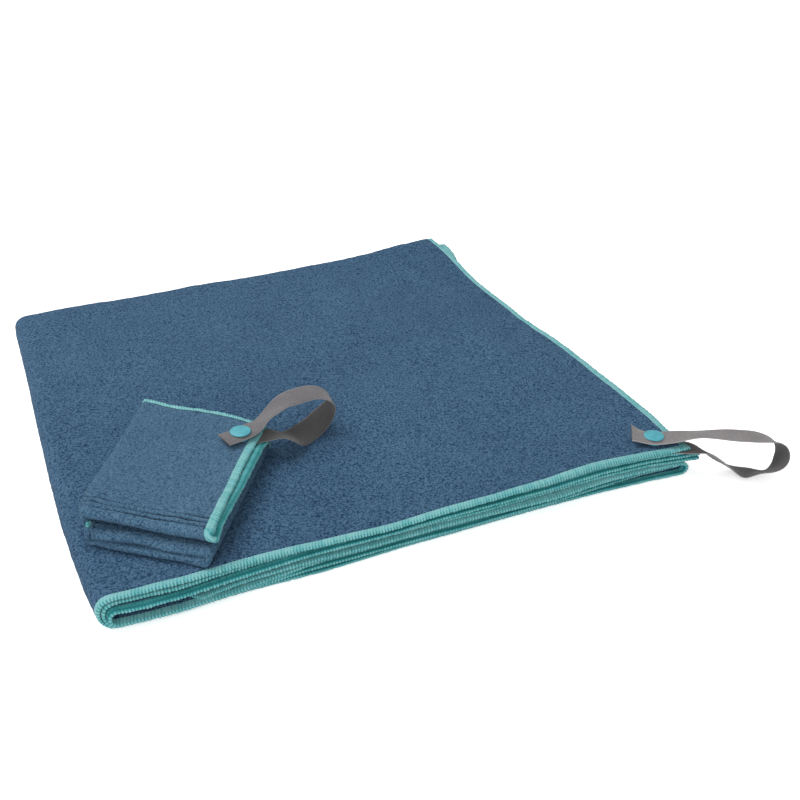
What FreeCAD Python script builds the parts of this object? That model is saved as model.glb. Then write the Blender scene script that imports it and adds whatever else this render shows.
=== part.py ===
import FreeCAD, Part
import math
import os

# Two-piece quick dry towel set: a bath towel folded to a flat stack of eight
# layers, with its matching face towel folded and laid on top. Each towel has
# an overlocked edge binding, a webbing hanging loop and a resin snap button.
# Millimetres, +Z up. The origin is the centre of the folded bath towel's
# footprint, on the plane that it rests on. -Y is the side with the sewn edges.

# ---- driving dimensions: bath towel ----
W = 356.0            # folded width, X, over the last fold
D = 358.0            # folded depth, Y
LAYER = 2.1          # one layer of the cloth
PITCH = 2.4          # spacing of the layers
R_CORE = 0.55        # half thickness of the cloth inside the binding
BIND = 4.5           # width of the overlocked binding
SKIN_END = 0.5       # thread beyond the cloth's cut edge
OPEN_BATH = 40.0     # how far the upper half lifts about the last fold, degrees
X_RIGHT_AB = 178.0   # right end of the top pair of layers
X_RIGHT_CD = 182.0   # right end of the second pair
X_RIGHT_FOLD = 176.0 # outside of the folds at the lower right
Q_SETBACK = 2.0      # the second cut edge lies this far behind the first

# ---- driving dimensions: snaps (size 20 resin snap) ----
CAP_D, CAP_T = 12.4, 1.3
POST_D, HEAD_D = 2.0, 3.1
SOCKET_D, STUD_D, NUB_D = 10.4, 10.0, 4.4
NUB_CLEAR = 0.2

# ---- driving dimensions: straps ----
STRAP_W, STRAP_T = 14.5, 0.9
SWING_CLEAR = 20.0

# ---- driving dimensions: face towel ----
FACE_T = 8.2         # thickness of each half
FACE_PLY = 2.1       # top ply of the upper half
OPEN_FACE = 150.0

V = FreeCAD.Vector
os.makedirs("parts", exist_ok=True)

STACK = 7 * PITCH + LAYER                 # height of the folded bath towel
Y_FRONT = -D / 2
Y_BACK = D / 2
Z_MID = STACK / 2
X_FOLD = -W / 2 + STACK / 2               # axis of the last fold
Z_LOW = (3 * PITCH + LAYER) / 2           # mid height of the four lower layers
X_LOW = X_RIGHT_FOLD - Z_LOW              # axis of the folds at the lower right
# layers from the bottom: 0 H, 1 G, 2 F, 3 E, 4 D, 5 C, 6 B, 7 A
ZC = [k * PITCH + LAYER / 2 for k in range(8)]


def box(x0, x1, y0, y1, z0, z1):
    return Part.makeBox(x1 - x0, y1 - y0, z1 - z0, V(x0, y0, z0))


def sector(xc, zc, r0, r1, a0, a1, y0, y1):
    """Ring sector in the XZ plane, angles from +X towards +Z, drawn out along Y."""
    def p(r, a):
        a = math.radians(a)
        return V(xc + r * math.cos(a), y0, zc + r * math.sin(a))
    am = (a0 + a1) / 2
    edges = [
        Part.Arc(p(r1, a0), p(r1, am), p(r1, a1)).toShape(),
        Part.makeLine(p(r1, a1), p(r0, a1)),
        Part.Arc(p(r0, a1), p(r0, am), p(r0, a0)).toShape(),
        Part.makeLine(p(r0, a0), p(r1, a0)),
    ]
    return Part.Face(Part.Wire(edges)).extrude(V(0, y1 - y0, 0))


def union(shapes):
    out = shapes[0]
    if len(shapes) > 1:
        out = out.multiFuse(shapes[1:])
    return out.removeSplitter()


def prism(points, z0, z1):
    pts = [V(x, y, z0) for x, y in points]
    return Part.Face(Part.makePolygon(pts + pts[:1])).extrude(V(0, 0, z1 - z0))


def disc(d, z0, z1, at):
    return Part.makeCylinder(d / 2, z1 - z0, V(at[0], at[1], z0))


def save(name, shape):
    solids = shape.Solids
    shape = solids[0] if len(solids) == 1 else Part.makeCompound(solids)
    shape.exportStep("parts/" + name + ".step")
    print(name, len(solids), "%.0f mm3" % shape.Volume, shape.isValid())


# ---- bath towel: the folded path of the cloth ----
ARC_START = 90 + OPEN_BATH + 3


def lower_run(half, y0, y1, layers):
    """The part of one edge strand that stays put: two layers and their folds."""
    top, bottom = layers                       # indices among 0..3
    zt, zb = ZC[top], ZC[bottom]
    out = [
        box(X_FOLD, X_LOW, y0, y1, zt - half, zt + half),
        box(X_FOLD, X_LOW, y0, y1, zb - half, zb + half),
    ]
    r = (zt - zb) / 2
    out.append(sector(X_LOW, Z_LOW, max(r - half, 0.1), r + half, -90, 90, y0, y1))
    for z in (zt, zb):
        r = Z_MID - z
        out.append(sector(X_FOLD, Z_MID, max(r - half, 0.1), r + half, ARC_START, 270, y0, y1))
    return out


def upper_run(half, y0, y1, layer, x1):
    return box(X_FOLD, x1, y0, y1, ZC[layer] - half, ZC[layer] + half)


HALF = LAYER / 2
P_FRONT, Q_FRONT = Y_FRONT, Y_FRONT + Q_SETBACK
R_BACK = (PITCH + LAYER) / 2
Y_WEB = Y_BACK - R_BACK


def back_fold(k, x0, x1, r):
    """Half-round fold at the back that joins layers k and k + 1."""
    z = (ZC[k] + ZC[k + 1]) / 2
    cyl = Part.makeCylinder(r, x1 - x0, V(x0, Y_WEB, z), V(1, 0, 0))
    return cyl.common(box(x0 - 1, x1 + 1, Y_WEB, Y_BACK + 5, z - 10, z + 10))


# lower half: strand P is layers E and H, strand Q is layers F and G
core_p = union(lower_run(R_CORE, P_FRONT + SKIN_END, P_FRONT + BIND + 1, (3, 0)))
core_q = union(lower_run(R_CORE, Q_FRONT + SKIN_END, Q_FRONT + BIND + 1, (2, 1)))
body_p = union(lower_run(HALF, P_FRONT + BIND, Y_WEB, (3, 0)))
body_q = union(lower_run(HALF, Q_FRONT + BIND, Y_WEB, (2, 1)))
fill = []
for k in (0, 2):
    fill.append(back_fold(k, X_FOLD, X_LOW, R_BACK))
    za, zb = Z_MID - ZC[k], Z_MID - ZC[k + 1]
    fill.append(sector(X_FOLD, Z_MID, max(zb - HALF, 0.1), za + HALF, ARC_START, 270, Y_WEB, Y_BACK))
fill.append(sector(X_LOW, Z_LOW, 0.15, Z_LOW, -90, 90, Y_WEB, Y_BACK))
bath_cloth_lower = union([body_p, body_q, core_p, core_q] + fill)
edge_p = union(lower_run(HALF, P_FRONT, P_FRONT + BIND, (3, 0))).cut(core_p)
edge_q = union(lower_run(HALF, Q_FRONT, Q_FRONT + BIND, (2, 1))).cut(core_q)
bath_edge_lower = Part.makeCompound(edge_p.Solids + edge_q.Solids)

# upper half: layers A and B are one pair, C and D the other
SNAP = (161.5, -164.5)
HEADING = math.radians(-23.5)
cloth_parts, edge_parts = [], []
for pair, x_end in (((7, 6), X_RIGHT_AB), ((5, 4), X_RIGHT_CD)):
    thick, core, full = [], [], []
    for k in pair:
        yf = P_FRONT if k in (7, 4) else Q_FRONT
        thick.append(upper_run(HALF, yf + BIND, Y_WEB, k, x_end - BIND))
        core.append(upper_run(R_CORE, yf + SKIN_END, Y_WEB, k, x_end - SKIN_END))
        full.append(upper_run(HALF, yf, Y_WEB, k, x_end))
    low = min(pair)
    thick.append(back_fold(low, X_FOLD, x_end - BIND, R_BACK))
    core.append(back_fold(low, X_FOLD, x_end - SKIN_END, R_BACK - 0.5))
    full.append(back_fold(low, X_FOLD, x_end, R_BACK))
    cloth = union(thick + core)
    cloth_parts.append(cloth)
    edge_parts.append(union(full).cut(cloth))

# room for the strap's lower arm and the snap's back cap between layers A and B
Z_A = ZC[7] - HALF
POCKET = box(142, 200, -190, -138, ZC[6] + HALF - 0.95, Z_A)
CAP_POCKET = disc(CAP_D + 1.2, ZC[6] - HALF + 0.35, Z_A, SNAP)
POST_HOLE = disc(POST_D, Z_A - 1, STACK + 1, SNAP)
cloth_parts = [c.cut(POCKET).cut(CAP_POCKET).cut(POST_HOLE) for c in cloth_parts]
edge_parts = [c.cut(POCKET).cut(CAP_POCKET) for c in edge_parts]
bath_cloth_upper = Part.makeCompound([s for c in cloth_parts for s in c.Solids])
bath_edge_upper = Part.makeCompound([s for c in edge_parts for s in c.Solids])

save("bath_cloth_lower", bath_cloth_lower)
save("bath_edge_lower", bath_edge_lower)
save("bath_cloth_upper", bath_cloth_upper)
save("bath_edge_upper", bath_edge_upper)


# ---- snap button ----
def snap(at, z_cloth_top, z_cloth_bottom):
    """Cap, socket, stud and back cap around a vertical axis; returns solids and
    the height of the strap's underside above the socket."""
    z = z_cloth_top
    stud = disc(STUD_D, z, z + 0.7, at).fuse(disc(NUB_D, z + 0.7, z + 2.0, at))
    stud = stud.cut(disc(POST_D, z - 0.1, z + 0.8, at)).cut(disc(HEAD_D, z + 0.7, z + 2.1, at))
    socket = disc(SOCKET_D, z + 0.85, z + 3.0, at)
    socket = socket.cut(disc(NUB_D + 2 * NUB_CLEAR, z + 0.8, z + 2.5, at))
    socket = socket.cut(disc(POST_D, z + 2.4, z + 3.1, at))
    z_strap = z + 3.05
    z_cap = z_strap + STRAP_T + 0.05
    dome = Part.makeSphere(40, V(at[0], at[1], z_cap + CAP_T - 40))
    cap = disc(CAP_D, z_cap, z_cap + CAP_T, at).common(dome)
    cap = cap.fuse(disc(POST_D, z + 2.5, z_cap + 0.1, at))
    cap = cap.fuse(disc(HEAD_D, z + 2.15, z + 2.5, at)).removeSplitter()
    z_back = z_cloth_bottom - 0.05 - STRAP_T - 0.05
    back = disc(CAP_D, z_back - 0.95, z_back - 0.1, at)
    back = back.fuse(disc(POST_D, z_back - 0.2, z + 0.75, at))
    back = back.fuse(disc(HEAD_D - 0.1, z + 0.75, z + 1.5, at)).removeSplitter()
    return cap, socket, stud.removeSplitter(), back, z_strap, z_back


# ---- straps: a flat webbing that runs along a list of stations ----
def spline(stations, steps):
    """Catmull-Rom through the stations (centre u, v, z and width vector)."""
    pts = [stations[0]] + list(stations) + [stations[-1]]
    out = []
    for i in range(1, len(pts) - 2):
        for s in range(steps):
            t = s / steps
            row = []
            for a, b, c, d in zip(pts[i - 1], pts[i], pts[i + 1], pts[i + 2]):
                row.append(0.5 * (2 * b + (c - a) * t + (2 * a - 5 * b + 4 * c - d) * t * t
                                  + (3 * b - a - 3 * c + d) * t ** 3))
            out.append(row)
    out.append(list(stations[-1]))
    return out


def ribbon(stations, to_world, steps=2, width=STRAP_W, thick=STRAP_T):
    """Solid strap lofted through thin rectangles."""
    rows = spline(stations, steps)
    centre = [to_world(r[0], r[1], r[2], True) for r in rows]
    wires = []
    for i, r in enumerate(rows):
        a, b = centre[max(i - 1, 0)], centre[min(i + 1, len(rows) - 1)]
        tangent = (b - a).normalize()
        w = to_world(r[3], r[4], r[5], False)
        w = (w - tangent * w.dot(tangent)).normalize()
        n = tangent.cross(w).normalize()
        c = centre[i]
        corners = [c + w * (sx * width / 2) + n * (sy * thick / 2)
                   for sx, sy in ((1, 1), (1, -1), (-1, -1), (-1, 1))]
        wires.append(Part.makePolygon(corners + corners[:1]))
    return Part.makeLoft(wires, True, True)


def placer(at, z0, heading):
    cu, su = math.cos(heading), math.sin(heading)

    def to_world(u, v, z, point):
        x, y = cu * u - su * v, su * u + cu * v
        return V(at[0] + x, at[1] + y, z0 + z) if point else V(x, y, z)
    return to_world


cap, socket, stud, back, z_strap, z_back = snap(SNAP, STACK, Z_A)
Z_ARM = z_strap + STRAP_T / 2             # centre of the upper arm at the snap
Z_UNDER = z_back + STRAP_T / 2            # centre of the lower arm
dz = Z_UNDER - Z_ARM
bath_to_world = placer(SNAP, Z_ARM, HEADING)
# stations: along the heading u, across v, height z; then the width vector
BATH_LOWER_ARM = [
    (-7.5, 0.9, dz, 0.1, 1, 0), (0, 0, dz, 0.1, 1, 0), (9, -1.0, dz - 0.05, 0.1, 1, 0),
    (21.5, -2.5, dz - 0.1, 0.1, 1, 0), (27.5, -3.0, dz - 0.8, 0.1, 1, -0.2),
    (33.0, -3.5, dz - 3.0, 0, 0.87, -0.5), (40.7, -5.6, -14.1, 0, 0.87, -0.50),
    (47.7, -7.2, -18.0, 0, 0.95, -0.32), (54.7, -8.7, -20.4, 0, 0.99, -0.09),
    (63.8, -11.3, -18.2, 0.05, 0.87, -0.47), (69.6, -12.2, -16.6, 0.1, 0.76, -0.64),
    (75.8, -10.7, -13.0, 0.5, 0.75, -0.43), (77.9, -8.6, -9.0, 0.5, 0.76, -0.40),
    (76.2, -4.8, -4.6, 0.45, 0.85, -0.28), (72.4, -2.2, -1.6, 0.25, 0.95, -0.12),
    (67.3, -0.5, -0.3, 0.08, 1, -0.02), (63.4, 0, 0.1, 0, 1, 0),
]
BATH_UPPER_ARM = [
    (61.8, 0, 0.2, 0, 1, 0), (56, 0, 0.5, 0, 1, -0.02), (48, 0, 0.9, 0, 1, 0),
    (38, 0, 1.5, 0, 1, -0.13), (27, 0, 1.9, 0, 1, -0.25), (19, 0, 1.2, 0, 1, -0.14),
    (12, 0, 0.15, 0, 1, -0.02), (6, 0, 0, 0, 1, 0), (0, 0, 0, 0, 1, 0), (-6, 0, 0, 0, 1, 0),
    (-13.5, 0, 0.2, 0, 1, 0.05),
]
bath_lower_arm = ribbon(BATH_LOWER_ARM, bath_to_world)
bath_lower_arm = bath_lower_arm.cut(disc(POST_D + 0.5, z_back - 2, STACK, SNAP))
bath_upper_arm = ribbon(BATH_UPPER_ARM, bath_to_world)
bath_upper_arm = bath_upper_arm.cut(disc(POST_D, STACK, z_strap + 4, SNAP))
save("bath_strap_lower_arm", bath_lower_arm)
save("bath_strap_upper_arm", bath_upper_arm)
save("bath_snap_cap", cap)
save("bath_snap_socket", socket)
save("bath_snap_stud", stud)
save("bath_snap_back_cap", back)

# ---- face towel: two packets joined at a spine on the left ----
Z_F0 = STACK + 0.1                        # rests on the bath towel
Z_F1 = Z_F0 + FACE_T
Z_SPINE = Z_F1 + 0.1                      # height of the spine's axis
Z_F2 = Z_F1 + 0.2
Z_F3 = Z_F2 + FACE_T                      # top of the face towel
LOW_QUAD = [(-173.0, -133.5), (-116.5, -177.5), (-52.0, -85.5), (-118.5, -24.0)]
SPINE_A, SPINE_B = (-171.5, -125.0), (-119.5, -22.0)
EDGE_F, EDGE_B = (-105.7, -171.0), (-52.6, -79.1)


def lerp(a, b, t):
    return (a[0] + (b[0] - a[0]) * t, a[1] + (b[1] - a[1]) * t)


def band(p0, p1, q0, q1, width0, width1):
    """Strip along the edge q0-q1 of the quadrilateral p0 p1 q1 q0, from width0 to
    width1 millimetres inside that edge."""
    span = math.hypot(q0[0] - p0[0], q0[1] - p0[1])
    t0, t1 = 1 - width1 / span, 1 - width0 / span
    return [lerp(p0, q0, t0), lerp(p0, q0, t1), lerp(p1, q1, t1), lerp(p1, q1, t0)]


def quad_cut(w):
    """The upper packet's outline with w millimetres taken off its sewn edge."""
    return [SPINE_A, band(SPINE_A, SPINE_B, EDGE_F, EDGE_B, 0, w)[0],
            band(SPINE_A, SPINE_B, EDGE_F, EDGE_B, 0, w)[3], SPINE_B]


UX = math.cos(math.radians(62.0)), math.sin(math.radians(62.0))
# the last 4 mm of the lower packet's left side is the rounded spine fold
face_lower_body = prism(LOW_QUAD, Z_F0, Z_F1)
vertical = [e for e in face_lower_body.Edges
            if abs(e.Vertexes[0].Z - e.Vertexes[1].Z) > FACE_T - 0.5]
face_lower_body = face_lower_body.makeFillet(5.0, vertical)
rims = [e for e in face_lower_body.Edges if abs(e.BoundBox.ZMax - Z_F0) < 1e-6]
face_lower_body = face_lower_body.makeFillet(2.5, rims)

upper_thick = prism(quad_cut(BIND), Z_F2, Z_F3 - FACE_PLY - 0.1)
top_ply = prism(quad_cut(2 * BIND - 1.0), Z_F3 - FACE_PLY, Z_F3)
core_top = prism(quad_cut(BIND - 1.0 + SKIN_END), Z_F3 - FACE_PLY / 2 - R_CORE, Z_F3 - FACE_PLY / 2 + R_CORE)
core_low = prism(quad_cut(SKIN_END), Z_F3 - FACE_PLY * 1.5 - R_CORE - 0.1, Z_F3 - FACE_PLY * 1.5 + R_CORE - 0.1)
# the two plies meet along the spine side
join = prism([SPINE_A, lerp(SPINE_A, EDGE_F, 0.12), lerp(SPINE_B, EDGE_B, 0.12), SPINE_B],
             Z_F3 - FACE_PLY - 0.2, Z_F3 - FACE_PLY + 0.1)
face_upper_body = union([upper_thick, core_low, top_ply, core_top, join])
edge_top = prism(band(SPINE_A, SPINE_B, EDGE_F, EDGE_B, BIND - 1.0, 2 * BIND - 1.0), Z_F3 - FACE_PLY, Z_F3)
edge_low = prism(band(SPINE_A, SPINE_B, EDGE_F, EDGE_B, 0, BIND), Z_F3 - 2 * FACE_PLY - 0.1, Z_F3 - FACE_PLY - 0.1)
edge_top, edge_low = edge_top.cut(core_top), edge_low.cut(core_low)
# narrow binding along the back edge of the top ply
BACK_BAND = 2.2
back_strip = prism([lerp(SPINE_B, SPINE_A, BACK_BAND / 115), lerp(EDGE_B, EDGE_F, BACK_BAND / 112),
                    EDGE_B, SPINE_B], Z_F3 - FACE_PLY, Z_F3).common(top_ply)
face_upper_body = face_upper_body.cut(back_strip)
edge_top = edge_top.fuse(back_strip).removeSplitter()

FSNAP = (-74.5, -86.5)
F_HEADING = HEADING
Z_FA = Z_F3 - FACE_PLY
fcap, fsocket, fstud, fback, fz_strap, fz_back = snap(FSNAP, Z_F3, Z_FA)
flat = placer(FSNAP, 0, F_HEADING)
F_POCKET = prism([flat(u, v, 0, True)[:2] for u, v in ((-3, -17), (34, -16), (34, 36), (-3, 20))],
                 Z_FA - 1.3, Z_FA)
F_POCKET = F_POCKET.fuse(disc(32, Z_FA - 1.3, Z_FA, FSNAP))
F_CAPPOCKET = disc(CAP_D + 1.2, Z_FA - 2.3, Z_FA, FSNAP)
F_POST = disc(POST_D, Z_FA - 1, Z_F3 + 1, FSNAP)
face_upper_body = face_upper_body.cut(F_POCKET).cut(F_CAPPOCKET).cut(F_POST)
edge_low = edge_low.cut(F_POCKET).cut(F_CAPPOCKET)
edge_top = edge_top.cut(F_POCKET)
face_edge_upper = Part.makeCompound(edge_top.Solids + edge_low.Solids)

# the binding's inner end shows in the gap between the two halves at the spine
tab = prism([(-169.0, -127.4), (-166.4, -129.6), (-158.0, -110.0), (-160.6, -107.9)], Z_F1 - 2.1, Z_F1 - 0.0)
face_lower_body = face_lower_body.cut(tab)
face_edge_lower = tab

save("face_cloth_lower", face_lower_body)
save("face_edge_lower", face_edge_lower)
save("face_cloth_upper", face_upper_body)
save("face_edge_upper", face_edge_upper)

FZ_ARM = fz_strap + STRAP_T / 2
fdz = fz_back + STRAP_T / 2 - FZ_ARM
face_to_world = placer(FSNAP, FZ_ARM, F_HEADING)
C43, S43 = math.cos(math.radians(43)), math.sin(math.radians(43))
FACE_UPPER_ARM = [
    (-9.0, -7.4, 0.2, -0.66, 0.75, 0.0), (-4.4, -4.0, 0, -0.68, 0.73, 0), (0, 0, 0, -0.68, 0.73, 0),
    (4.2, 4.0, 0, -0.66, 0.75, 0), (7.0, 6.9, 0.1, -0.5, 0.86, -0.03), (10.4, 11.2, 0.8, -0.25, 0.93, -0.25),
    (15.8, 18.3, 2.6, -0.31, 0.94, -0.12), (22.3, 27.3, 4.9, -0.36, 0.93, 0.08),
    (27.9, 31.9, 5.5, -0.28, 0.94, 0.2), (35.5, 37.2, 5.4, -0.2, 0.97, 0.16), (41.0, 39.9, 4.8, -0.2, 0.97, 0.12),
]
FACE_LOWER_ARM = [
    (-6.0, -4.0, fdz, -0.5, 0.86, 0), (0, 0, fdz, -0.5, 0.86, 0), (7, 4.3, fdz - 0.03, -0.5, 0.86, 0),
    (13.5, 7.2, fdz - 0.1, -0.42, 0.9, 0), (20.0, 8.7, fdz - 0.15, -0.3, 0.95, 0), (24.2, 9.9, fdz - 1.5, -0.25, 0.93, 0),
    (27.0, 12.0, -10.6, -0.3, 0.8, 0.3), (29.8, 15.4, -13.1, -0.42, 0.5, 0.72),
    (33.8, 20.9, -13.9, -0.52, 0.38, 0.75), (40.3, 32.3, -14.6, -0.68, 0.48, 0.55),
    (45.8, 40.6, -11.6, -0.7, 0.62, 0.2), (49.2, 43.4, -8.0, -0.5, 0.8, 0.0),
    (51.9, 41.8, -3.8, -0.2, 0.9, -0.35), (50.4, 40.8, -0.4, -0.15, 0.96, -0.2),
    (46.9, 41.2, 2.4, -0.15, 0.98, 0.0), (43.4, 40.7, 4.1, -0.2, 0.97, 0.1),
]
face_lower_arm = ribbon(FACE_LOWER_ARM, face_to_world)
face_lower_arm = face_lower_arm.cut(disc(POST_D + 0.5, fz_back - 2, Z_F3, FSNAP))
face_upper_arm = ribbon(FACE_UPPER_ARM, face_to_world)
face_upper_arm = face_upper_arm.cut(disc(POST_D, Z_F3, fz_strap + 4, FSNAP))
save("face_strap_lower_arm", face_lower_arm)
save("face_strap_upper_arm", face_upper_arm)
save("face_snap_cap", fcap)
save("face_snap_socket", fsocket)
save("face_snap_stud", fstud)
save("face_snap_back_cap", fback)

print("stack", STACK, "fold axis", X_FOLD, Z_MID, "face", Z_F0, Z_F3, "arms", Z_ARM, FZ_ARM)
for name, tw, pt in (("bath open axis", bath_to_world, (62.6, 0, 0.15)),
                     ("face open axis", face_to_world, (42.2, 40.3, 4.45))):
    print(name, tw(*pt, True))
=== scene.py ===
import math

import bpy
import numpy as np
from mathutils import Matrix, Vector


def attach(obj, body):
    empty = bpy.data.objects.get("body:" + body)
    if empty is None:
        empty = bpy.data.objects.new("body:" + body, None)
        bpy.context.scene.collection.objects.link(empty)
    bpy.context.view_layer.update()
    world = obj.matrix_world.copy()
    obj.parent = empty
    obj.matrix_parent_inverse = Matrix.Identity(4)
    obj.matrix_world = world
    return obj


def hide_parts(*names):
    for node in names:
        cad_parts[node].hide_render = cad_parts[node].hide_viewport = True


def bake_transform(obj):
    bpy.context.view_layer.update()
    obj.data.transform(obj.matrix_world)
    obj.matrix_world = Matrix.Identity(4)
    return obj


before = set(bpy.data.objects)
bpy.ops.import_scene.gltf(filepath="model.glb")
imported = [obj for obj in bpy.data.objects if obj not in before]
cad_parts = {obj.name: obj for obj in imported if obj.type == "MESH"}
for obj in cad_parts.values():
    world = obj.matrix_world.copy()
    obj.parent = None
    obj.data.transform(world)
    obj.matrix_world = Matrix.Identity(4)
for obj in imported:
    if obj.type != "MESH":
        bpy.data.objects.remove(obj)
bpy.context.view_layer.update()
MM = 0.001


# ------------------------------------------------------------------ helpers
def smooth(t):
    t = np.clip(t, 0.0, 1.0)
    return t * t * (3 - 2 * t)


def make_waves(seed, n, low, high, power=1.0):
    """A smooth random height field: a sum of plane waves with wavelengths from low to high, in mm."""
    rng = np.random.default_rng(seed)
    lam = np.exp(rng.uniform(math.log(low), math.log(high), n))
    ang = rng.uniform(0, 2 * math.pi, n)
    ph = rng.uniform(0, 2 * math.pi, n)
    amp = (lam / high) ** power
    amp /= math.sqrt((amp ** 2).sum() / 2)
    kx, ky = 2 * math.pi / lam * np.cos(ang), 2 * math.pi / lam * np.sin(ang)

    def field(x, y):
        out = np.zeros(np.broadcast(x, y).shape)
        for a, b, c, d in zip(amp, kx, ky, ph):
            out += a * np.sin(b * x + c * y + d)
        return out
    return field


def build_mesh(name, verts, quads, extra=(), materials=(), face_mats=None):
    """Mesh object from vertices in mm, an array of quads and a list of other polygons."""
    verts = np.asarray(verts, float)
    quads = np.asarray(quads, np.int64).reshape(-1, 4)
    polys = [np.asarray(p, np.int64) for p in extra]
    loops = np.concatenate([quads.ravel()] + polys) if polys else quads.ravel()
    sizes = np.concatenate([np.full(len(quads), 4), np.array([len(p) for p in polys], int)])
    starts = np.concatenate([[0], np.cumsum(sizes)[:-1]])
    # outward orientation, by the sign of the enclosed volume
    a, b, c, d = (verts[quads[:, k]] for k in range(4))
    vol = (np.einsum("ij,ij->i", a, np.cross(b, c)) + np.einsum("ij,ij->i", a, np.cross(c, d))).sum()
    if vol < 0:
        order = []
        loops = loops.copy()
        q = loops[: quads.size].reshape(-1, 4)[:, ::-1].ravel()
        rest = [p[::-1] for p in polys]
        loops = np.concatenate([q] + rest) if rest else q
    me = bpy.data.meshes.new(name)
    me.vertices.add(len(verts))
    me.vertices.foreach_set("co", (verts * MM).astype(np.float32).ravel())
    me.loops.add(len(loops))
    me.loops.foreach_set("vertex_index", loops.astype(np.int32))
    me.polygons.add(len(sizes))
    me.polygons.foreach_set("loop_start", starts.astype(np.int32))
    me.polygons.foreach_set("use_smooth", np.ones(len(sizes), bool))
    for m in materials:
        me.materials.append(m)
    if face_mats is not None:
        fm = np.concatenate([np.asarray(face_mats), np.zeros(len(polys), int)])
        me.polygons.foreach_set("material_index", fm.astype(np.int32))
    me.update(calc_edges=True)
    me.validate()
    ob = bpy.data.objects.new(name, me)
    bpy.context.scene.collection.objects.link(ob)
    return ob


def tube_quads(n, m, closed=True):
    i = np.arange(n - 1)[:, None]
    j = np.arange(m if closed else m - 1)[None, :]
    k = (j + 1) % m
    return np.stack([i * m + j, i * m + k, (i + 1) * m + k, (i + 1) * m + j], -1).reshape(-1, 4)


def zipper(outer, inner, po, pi):
    """Triangles between two chains of vertex indices that run side by side, matched by position."""
    tris, i, j = [], 0, 0
    while i < len(outer) - 1 or j < len(inner) - 1:
        if j == len(inner) - 1 or (i < len(outer) - 1 and po[i + 1] <= pi[j + 1]):
            tris.append([outer[i], outer[i + 1], inner[j]])
            i += 1
        else:
            tris.append([outer[i], inner[j + 1], inner[j]])
            j += 1
    return tris


P_SEQ, Q_SEQ = [0, 0, 7, 7, 4, 4, 3, 3], [1, 1, 6, 6, 5, 5, 2, 2]


def by_strand(rows, u, leg):
    """Values along the two plies from values per layer (rows: 8 x points)."""
    k = np.clip(np.floor(u).astype(int), 0, 6)
    t = u - k
    i = np.arange(len(u))
    s = (leg + 1) / 2
    out = np.zeros(len(u))
    for seq, share in ((np.array(P_SEQ), s), (np.array(Q_SEQ), 1 - s)):
        out += share * (rows[seq[k], i] * (1 - t) + rows[seq[k + 1], i] * t)
    return out


def table(xs, rows):
    """Values by layer and by x, read out along the strands."""
    rows = np.asarray(rows, float)

    def get(u, leg, x):
        return by_strand(np.stack([np.interp(x, xs, r) for r in rows], 0), u, leg)
    return get


def near_line(x, y, pts):
    """Distance from points to a polyline in plan."""
    best = np.full(x.shape, 1e9)
    for (ax, ay), (bx, by) in zip(pts[:-1], pts[1:]):
        dx, dy = bx - ax, by - ay
        t = np.clip(((x - ax) * dx + (y - ay) * dy) / max(dx * dx + dy * dy, 1e-9), 0, 1)
        best = np.minimum(best, np.hypot(x - ax - t * dx, y - ay - t * dy))
    return best


def set_weights(ob):
    """Bakes ob's world transform into its mesh data."""
    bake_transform(ob)


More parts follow.
